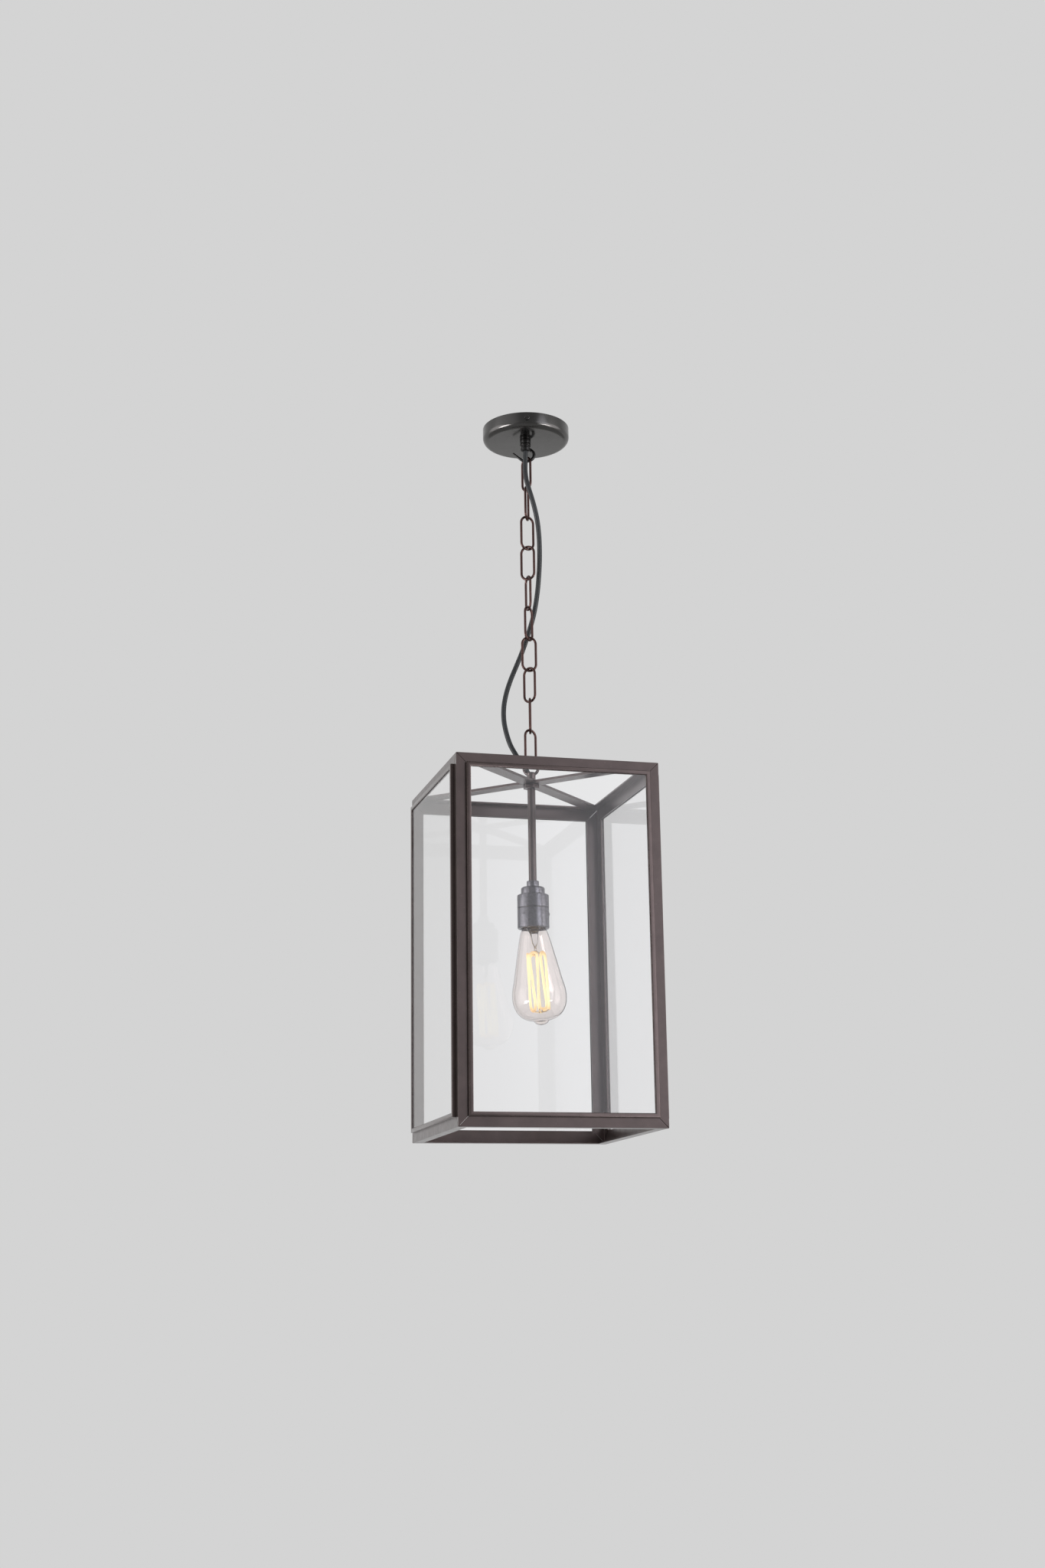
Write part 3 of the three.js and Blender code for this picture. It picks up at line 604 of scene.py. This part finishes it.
def make_chain():
    line = link_line()
    radii = [LINK_R] * len(line)
    seam = next(i for i, p in enumerate(line) if p.x < 0 and abs(p.z) < 1e-6)
    radii[seam] = LINK_R - LINK_SEAM_DEPTH
    ring = swept(line, radii, 20, closed=True)
    names = sorted(n for n in frame["nodes"] if n.startswith("chain_link_"))
    for i, node in enumerate(names):
        place = at(0, 0, LINK_FIRST_CENTRE_Z - i * LINK_PITCH)
        place = place @ turn_z(LINK_FIRST_TURN + i * LINK_TURN)
        body = node.replace("chain_link", "link")
        name = node.replace("chain_link", "bent_link")
        add_piece(name, moved(ring, place), body, "antique_chain", [node])


make_chain()

# ------------------------------------------------------------------ lantern frame and glass

FRAME_W, FRAME_H = 242, 422
FRAME_BOTTOM = -880.5
FRAME_MIDDLE = FRAME_BOTTOM + FRAME_H / 2
BEAD_INSET, BEAD_W, BEAD_PROUD, BEAD_WALL, BEAD_LIP = 11.3, 5, 4.3, 1.3, 1.1
SIDES = ("front", "right", "back", "left")


def moulded_frame(width, height, profile):
    """A mitred rectangle in the XZ plane from an (inset, proud) profile."""
    verts, faces = [], []
    n = len(profile)
    for sx, sz in ((-1, -1), (1, -1), (1, 1), (-1, 1)):
        for inset, proud in profile:
            verts.append((sx * (width / 2 - inset), -proud, sz * (height / 2 - inset)))
    for corner in range(4):
        for i in range(n):
            j, following = (i + 1) % n, (corner + 1) % 4 * n
            faces.append([corner * n + i, corner * n + j, following + j, following + i])
    return verts, faces


def make_glazing_frames():
    lip_back = BEAD_PROUD - BEAD_LIP
    profile = rounded(
        [
            (0, 0.05), (BEAD_WALL, 0.05), (BEAD_WALL, lip_back, 0.2), (BEAD_W, lip_back, 0.25),
            (BEAD_W, BEAD_PROUD, 0.8), (0, BEAD_PROUD, 0.9),
        ],
        7,
    )
    shape = moulded_frame(FRAME_W - 2 * BEAD_INSET, FRAME_H - 2 * BEAD_INSET, profile)
    for i, side in enumerate(SIDES):
        place = turn_z(90 * i) @ at(0, -FRAME_W / 2, FRAME_MIDDLE)
        node = f"glazing_frame_{side}"
        name = f"moulded_{node}"
        add_piece(name, moved(shape, place), "lantern", "glazing_bronze", [node], crease=50)


def bevel_cad(node, width_mm, slot):
    """Keeps a CAD node, with eased edges and its slot's finish."""
    piece = frame["nodes"][node]
    piece.data.materials.clear()
    piece.data.materials.append(MATERIALS[slot])
    weld = piece.modifiers.new("weld", "WELD")
    weld.merge_threshold = 1e-5
    if width_mm:
        bevel = piece.modifiers.new("bevel", "BEVEL")
        bevel.width = width_mm * MM
        bevel.segments = 3
        bevel.limit_method = "ANGLE"
        bevel.angle_limit = rad(35)
        bevel.harden_normals = True


make_glazing_frames()

# ------------------------------------------------------------------ hub: loop, neck, rod

LOOP_R, LOOP_WIRE_R = 8.7, 1.8
LOOP_CENTRE_Z = -441.1
LOOP_TURN = LINK_FIRST_TURN + 10 * LINK_TURN
NECK_R, NECK_TOP, NECK_BOTTOM = 5.8, -446.7, -458.2
STUD_R = 4
ROD_R, ROD_WALL = 4.75, 1.3


def make_hub():
    ring_line = [
        Vector((LOOP_R * math.cos(a), 0, LOOP_R * math.sin(a)))
        for a in (2 * math.pi * k / 64 for k in range(64))
    ]
    place = at(0, 0, LOOP_CENTRE_Z) @ turn_z(LOOP_TURN)
    ring = moved(swept(ring_line, LOOP_WIRE_R, 22, closed=True), place)
    add_piece("loop_ring", ring, "lantern", "bronze", ["top_loop"])
    neck = rounded(
        [
            (0, NECK_BOTTOM - 8), (STUD_R, NECK_BOTTOM - 8), (STUD_R, NECK_BOTTOM),
            (NECK_R + 1, NECK_BOTTOM, 0.3), (NECK_R + 1, NECK_BOTTOM + 1.6, 0.6),
            (NECK_R - 0.4, NECK_BOTTOM + 3, 0.8), (NECK_R - 0.4, NECK_TOP - 3, 0.8),
            (NECK_R, NECK_TOP - 1.6, 0.6), (NECK_R - 0.6, NECK_TOP, 0.8), (0, NECK_TOP),
        ],
        4,
    )
    add_piece("loop_neck", turned(neck, 64), "lantern", "bronze", ["top_loop"])


make_hub()

# ------------------------------------------------------------------ lampholder
# Its heights and the bulb's are above the bottom of the lantern's frame.

CAP_TOP, BARREL_TOP, BARREL_SEAM, BARREL_BOTTOM = 292.6, 283.3, 267.1, 243
CAP_R, BARREL_R, HOLDER_WALL = 14.15, 18.9, 1.8
COLLAR_R, COLLAR_TOP = 7.3, 300.2
INSULATOR_BOTTOM = 272
MOUTH_R, SHELL_R, SHELL_TOP = 14.6, 14.5, 271
THREAD_PITCH = 3.6
HOLDER_SCREW_Z = 259.7
HOLDER_SCREW_TURNS = (-143, -23, 97)
HOLDER_SCREW = (1.75, 1.0, 1.2, 2)  # head radius and height, shank radius and length


def threaded_ring(outer, wall, bottom, top, depth):
    """A thin tube with the rolled thread of a lamp base, as closed rounded ridges."""
    steps = 10
    count = int((top - bottom) / THREAD_PITCH * steps)
    wave = []
    for k in range(count + 1):
        groove = depth * (0.5 + 0.5 * math.cos(2 * math.pi * k / steps))
        wave.append((outer - groove, bottom + k * THREAD_PITCH / steps))
    return turned(wave + [(r - wall, z) for r, z in reversed(wave)], 72, closed=True)


def make_lampholder():
    lift = at(0, 0, FRAME_BOTTOM)

    def add_turned(name, profile, slot, node, closed=True, sides=96):
        shape = moved(turned(rounded(profile), sides, closed), lift)
        add_piece(name, shape, "lantern", slot, [node])

    rod_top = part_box("drop_rod")[1].z / MM - FRAME_BOTTOM
    add_turned(
        "rod_tube",
        [
            (ROD_R - ROD_WALL, CAP_TOP + 0.3), (ROD_R, CAP_TOP + 0.3), (ROD_R, rod_top, 0.4),
            (ROD_R - ROD_WALL, rod_top),
        ],
        "bronze", "drop_rod",
    )
    add_turned(
        "turned_rod_collar",
        [
            (ROD_R + 0.1, CAP_TOP + 0.2), (COLLAR_R, CAP_TOP + 0.2, 0.2), (COLLAR_R, COLLAR_TOP, 0.7),
            (ROD_R + 0.1, COLLAR_TOP, 0.1),
        ],
        "holder_metal", "rod_collar",
    )
    add_turned(
        "turned_lampholder_cap",
        [
            (2.5, CAP_TOP - 1.6), (CAP_R - 2, CAP_TOP - 1.6, 2), (CAP_R - 2, BARREL_TOP + 0.3),
            (CAP_R, BARREL_TOP + 0.3, 0.2), (CAP_R, CAP_TOP, 2.2), (2.5, CAP_TOP),
        ],
        "holder_metal", "lampholder_cap",
    )
    inner = BARREL_R - HOLDER_WALL
    add_turned(
        "turned_lampholder_body",
        [
            (6, BARREL_TOP - 1.6), (inner, BARREL_TOP - 1.6), (inner, BARREL_SEAM + 0.25),
            (BARREL_R, BARREL_SEAM + 0.25, 0.35), (BARREL_R, BARREL_TOP, 1.2), (6, BARREL_TOP),
        ],
        "holder_metal", "lampholder_body",
    )
    add_turned(
        "turned_lampholder_skirt",
        [
            (MOUTH_R, BARREL_BOTTOM + 1, 0.3), (MOUTH_R + 0.6, BARREL_BOTTOM, 0.3),
            (BARREL_R, BARREL_BOTTOM, 1.1), (BARREL_R, BARREL_SEAM - 0.25, 0.35),
            (inner, BARREL_SEAM - 0.25), (inner, BARREL_BOTTOM + 3), (MOUTH_R, BARREL_BOTTOM + 2.4),
        ],
        "holder_metal", "lampholder_skirt",
    )
    add_turned(
        "glazed_insulator",
        [
            (2.2, INSULATOR_BOTTOM, 0.4), (inner - 0.3, INSULATOR_BOTTOM, 0.8),
            (inner - 0.3, BARREL_TOP - 1.9, 0.8), (2.2, BARREL_TOP - 1.9, 0.4),
        ],
        "porcelain", "lampholder_insulator",
    )
    screw = slotted_screw(*HOLDER_SCREW)
    for i, yaw in enumerate(HOLDER_SCREW_TURNS, start=1):
        outwards = at(BARREL_R - 0.35, 0, HOLDER_SCREW_Z) @ Matrix.Rotation(rad(90), 4, "Y")
        shape = moved(screw, lift @ turn_z(yaw) @ outwards @ turn_z(20 * i))
        node = f"lampholder_screw_{i}"
        add_piece(f"slotted_{node}", shape, "lantern", "holder_metal", [node])
    shell = threaded_ring(SHELL_R, 0.5, BARREL_BOTTOM + 1.8, SHELL_TOP, 0.75)
    add_piece("rolled_thread_shell", moved(shell, lift), "lantern", "brass", ["thread_shell"])


make_lampholder()

# ------------------------------------------------------------------ bulb

BULB_CAP_TOP, BULB_CAP_BOTTOM = 269.5, 247.2
BULB_LEAN, BULB_LEAN_TURN, BULB_LEAN_Z = -4, 75, 245
BULB_OUTLINE = [
    (11.4, 247.5), (12.9, 243.8), (15.9, 239), (18, 231.5), (23.4, 207), (28.8, 181), (31.7, 168),
    (31.7, 155), (28.2, 145), (22, 138), (14.5, 134.4), (9.4, 133.2), (8.3, 131.8), (6.4, 129.8),
    (3.4, 128.5), (0, 128.1),
]
BULB_WALL = 0.8
STRANDS = 10
FILAMENT_TOP, FILAMENT_BOTTOM = (10.3, 212), (10.8, 147)  # radius, height
FILAMENT_TURN = 3
FILAMENT_R = 1.5
FILAMENT_BOW = 0.6  # how far a strand bulges at its middle
HOOKS_TOP, HOOKS_BOTTOM = (1.4, 216), (1.6, 143.5)  # radius and height of the support wires' roots
HOOK_WIRE_R, LEAD_WIRE_R = 0.45, 0.4


def bulb_wall():
    """The glass wall's closed profile, a thin shell along the bulb's outline."""
    outer = smooth_line([(r, z, 0) for r, z in BULB_OUTLINE], 5)
    inner = []
    for before, here, after in zip(outer[:1] + outer, outer, outer[1:] + outer[-1:]):
        along = (after - before).normalized()
        inner.append(here + Vector((along.y, -along.x, 0)) * BULB_WALL)
    inner = [p for p in inner if p.x > 1.5]
    profile = [(p.x, p.y) for p in inner] + [(0, inner[-1].y)]
    return profile + [(max(p.x, 0), p.y) for p in reversed(outer)]


def on_ring(ring, degrees, rise=0.0):
    radius, height = ring
    return Vector((radius * math.cos(rad(degrees)), radius * math.sin(rad(degrees)), height + rise))


def make_bulb():
    lift = at(0, 0, FRAME_BOTTOM)
    axis = Vector((math.cos(rad(BULB_LEAN_TURN)), math.sin(rad(BULB_LEAN_TURN)), 0))
    pivot = at(0, 0, BULB_LEAN_Z)
    leaning = lift @ pivot @ Matrix.Rotation(rad(BULB_LEAN), 4, axis) @ pivot.inverted()

    cap_wall = threaded_ring(13.3, 0.45, BULB_CAP_BOTTOM, BULB_CAP_TOP - 8, 0.7)
    shoulder = turned(
        rounded(
            [
                (12.2, BULB_CAP_TOP - 8.2), (12.9, BULB_CAP_TOP - 8.2), (9, BULB_CAP_TOP - 3.2, 1.5),
                (4.8, BULB_CAP_TOP - 2.4, 0.4), (4.2, BULB_CAP_TOP, 0.8), (0, BULB_CAP_TOP),
                (0, BULB_CAP_TOP - 4.4), (8, BULB_CAP_TOP - 4.8),
            ]
        ),
        64,
        closed=True,
    )
    cap = moved(joined(cap_wall, shoulder), lift)
    add_piece("screw_cap", cap, "bulb", "brass", ["bulb_cap"])

    wall = moved(turned(bulb_wall(), 96, closed=True), leaning)
    add_piece("blown_glass", wall, "bulb", "bulb_glass", ["bulb_glass"], crease=70)

    stem_profile = rounded(
        [
            (0, 247.2), (9.5, 247.2), (8.6, 243.5, 3), (5.2, 238, 3), (3.4, 226, 3), (1.6, 221, 2),
            (1.3, 214, 1), (1.3, 148, 1), (2.4, 145.5, 1), (2.4, 142.5, 1), (0, 141.5),
        ]
    )
    stem = moved(turned(stem_profile, 48), leaning)
    add_piece("glass_stem", stem, "bulb", "clear_glass", ["bulb_stem"])

    step = 360 / STRANDS
    points, hooks = [], []
    for i in range(STRANDS):
        angle = FILAMENT_TURN + step * i
        ends = [on_ring(FILAMENT_BOTTOM, angle), on_ring(FILAMENT_TOP, angle)]
        bow = (ends[0] + ends[1]) / 2 + on_ring((FILAMENT_BOW, 0), angle)
        points += [ends[i % 2], bow, ends[1 - i % 2]]
        hook_from, ring = (HOOKS_BOTTOM, FILAMENT_BOTTOM) if i % 2 else (HOOKS_TOP, FILAMENT_TOP)
        hooks.append((on_ring(hook_from, angle), on_ring(ring, angle + step / 2)))
    wire, radii = domed(smooth_line(points, 10), FILAMENT_R)
    filament = moved(swept(wire, radii, 12), leaning)
    add_piece("filament_coil", filament, "bulb", "glowing_wire", ["bulb_filament"])
    arms = []
    for root, tip in hooks:
        middle = (root + tip) / 2 + Vector((0, 0, -1.5))
        line, sizes = domed(smooth_line([root, middle, tip], 6), HOOK_WIRE_R, 3)
        arms.append(swept(line, sizes, 8))
    for side in (-1, 1):
        route = [(side * 3.5, 0, 243), (side * 3.8, 0, 230), on_ring((1.6, 217), 90 + side * 90)]
        arms.append(swept(smooth_line(route, 8), LEAD_WIRE_R, 8))
    wires = moved(joined(*arms), leaning)
    add_piece("filament_supports", wires, "bulb", "brass", ["bulb_filament"])


make_bulb()

# ------------------------------------------------------------------ CAD nodes that stay

ANGLE_EDGE = 0.35
for side in SIDES:
    bevel_cad(f"top_rail_{side}", ANGLE_EDGE, "bronze")
    bevel_cad(f"bottom_rail_{side}", ANGLE_EDGE, "bronze")
    bevel_cad(f"glass_pane_{side}", 0, "clear_glass")
for corner in ("front_left", "front_right", "back_right", "back_left"):
    bevel_cad(f"post_{corner}", ANGLE_EDGE, "bronze")
for node in ("cross_bar_a", "cross_bar_b"):
    bevel_cad(node, 0.3, "bronze")
bevel_cad("hub_nut", 0.5, "bronze")
for node in ("mounting_strap", "hook_nut", "cord_grip_backnut"):
    bevel_cad(node, 0.25, "zinc_steel")
bevel_cad("terminal_block", 0.5, "terminal_plastic")
bevel_cad("centre_contact", 0.1, "brass")

# ------------------------------------------------------------------ floor, lights and surroundings

FLOOR_Z, FLOOR_SIZE = -2.4, 8
# Radiance of the backdrop: as the camera sees it, as the panes let it through, and as it lights
# the lantern, and of the room in front.
BACKDROP_SEEN, BACKDROP_THROUGH_GLASS, BACKDROP_LIGHT, FRONT_ROOM = 0.658, 0.78, 0.62, 0.24
# Where the front room turns into the backdrop, as the cosine of the angle to +Y.
ROOM_FADE = (-0.6, 0.4)
# Soft lights round the lantern: azimuth and elevation of the middle, half angles of the full
# and the fading part, radiance and tint. Azimuth 0 is +X and 90 is +Y.
SOFT_LIGHTS = [
    (195, -27, 8, 19, 9.0, (1.0, 0.97, 0.97)),
    (-49, -28, 8, 19, 8.0, (1.0, 0.97, 0.97)),
    (172, -7, 10, 32, 1.0, (1.0, 0.96, 0.97)),
    (-32, -7, 10, 32, 1.1, (1.0, 0.96, 0.97)),
    (-60, 9, 8, 20, 1.2, (0.95, 0.96, 1.05)),
    (-40, 5, 5, 45, 0.4, (1.0, 1.0, 1.0)),
    (200, 10, 5, 45, 0.35, (1.0, 1.0, 1.0)),
]


def towards(azimuth, elevation):
    turn, rise = rad(azimuth), rad(elevation)
    return math.cos(rise) * math.cos(turn), math.cos(rise) * math.sin(turn), math.sin(rise)


def make_studio():
    """A pale backdrop for what looks at it straight or through glass, and soft lights for the
    rest: bright panels low at both sides, and a darker room in front."""
    world = bpy.data.worlds.new("studio")
    world.use_nodes = True
    nodes, links = world.node_tree.nodes, world.node_tree.links
    background = nodes["Background"]
    direction = nodes.new("ShaderNodeTexCoord").outputs["Generated"]

    def facing(toward, start, end, low, high):
        dot = nodes.new("ShaderNodeVectorMath")
        dot.operation = "DOT_PRODUCT"
        dot.inputs[1].default_value = toward
        links.new(direction, dot.inputs[0])
        ramp = nodes.new("ShaderNodeMapRange")
        ramp.interpolation_type = "SMOOTHSTEP"
        limits = {"From Min": start, "From Max": end, "To Min": low, "To Max": high}
        for name, value in limits.items():
            ramp.inputs[name].default_value = value
        links.new(dot.outputs["Value"], ramp.inputs["Value"])
        return ramp.outputs["Result"]

    def compute(kind, operation, a, b):
        node = nodes.new(kind)
        node.operation = operation
        for socket, value in zip(node.inputs, (a, b)):
            if hasattr(value, "node"):
                links.new(value, socket)
            else:
                socket.default_value = value
        return node.outputs[0]

    total = facing((0, 1, 0), *ROOM_FADE, FRONT_ROOM, BACKDROP_LIGHT)
    for azimuth, elevation, full, fade, radiance, tint in SOFT_LIGHTS:
        share = facing(towards(azimuth, elevation), math.cos(rad(fade)), math.cos(rad(full)), 0, 1)
        color = tuple(radiance * c for c in tint)
        light = compute("ShaderNodeVectorMath", "MULTIPLY", share, color)
        total = compute("ShaderNodeVectorMath", "ADD", total, light)

    def blend_in(share, below, above):
        mix = nodes.new("ShaderNodeMix")
        mix.data_type = "RGBA"
        links.new(share, mix.inputs["Factor"])
        links.new(below, mix.inputs["A"])
        mix.inputs["B"].default_value = (above, above, above, 1)
        return mix.outputs["Result"]

    path = nodes.new("ShaderNodeLightPath").outputs
    bounces = compute("ShaderNodeMath", "ADD", path["Glossy Depth"], path["Diffuse Depth"])
    straight = compute("ShaderNodeMath", "LESS_THAN", bounces, 0.5)
    through = compute("ShaderNodeMath", "MULTIPLY", path["Is Transmission Ray"], straight)
    total = blend_in(through, total, BACKDROP_THROUGH_GLASS)
    total = blend_in(path["Is Camera Ray"], total, BACKDROP_SEEN)
    links.new(total, background.inputs["Color"])
    SCENE.world = world


def make_floor():
    bpy.ops.mesh.primitive_plane_add(size=FLOOR_SIZE, location=(0, 0, FLOOR_Z))
    floor = bpy.context.object
    floor.name = "floor"
    s = Shader("pale_floor")
    s.link(s.between(s.noise(2.5, 3), (0.6, 0.6, 0.59), (0.66, 0.66, 0.65)), "Base Color")
    s.set(Roughness=0.8)
    floor.data.materials.append(s.material)


make_studio()
make_floor()
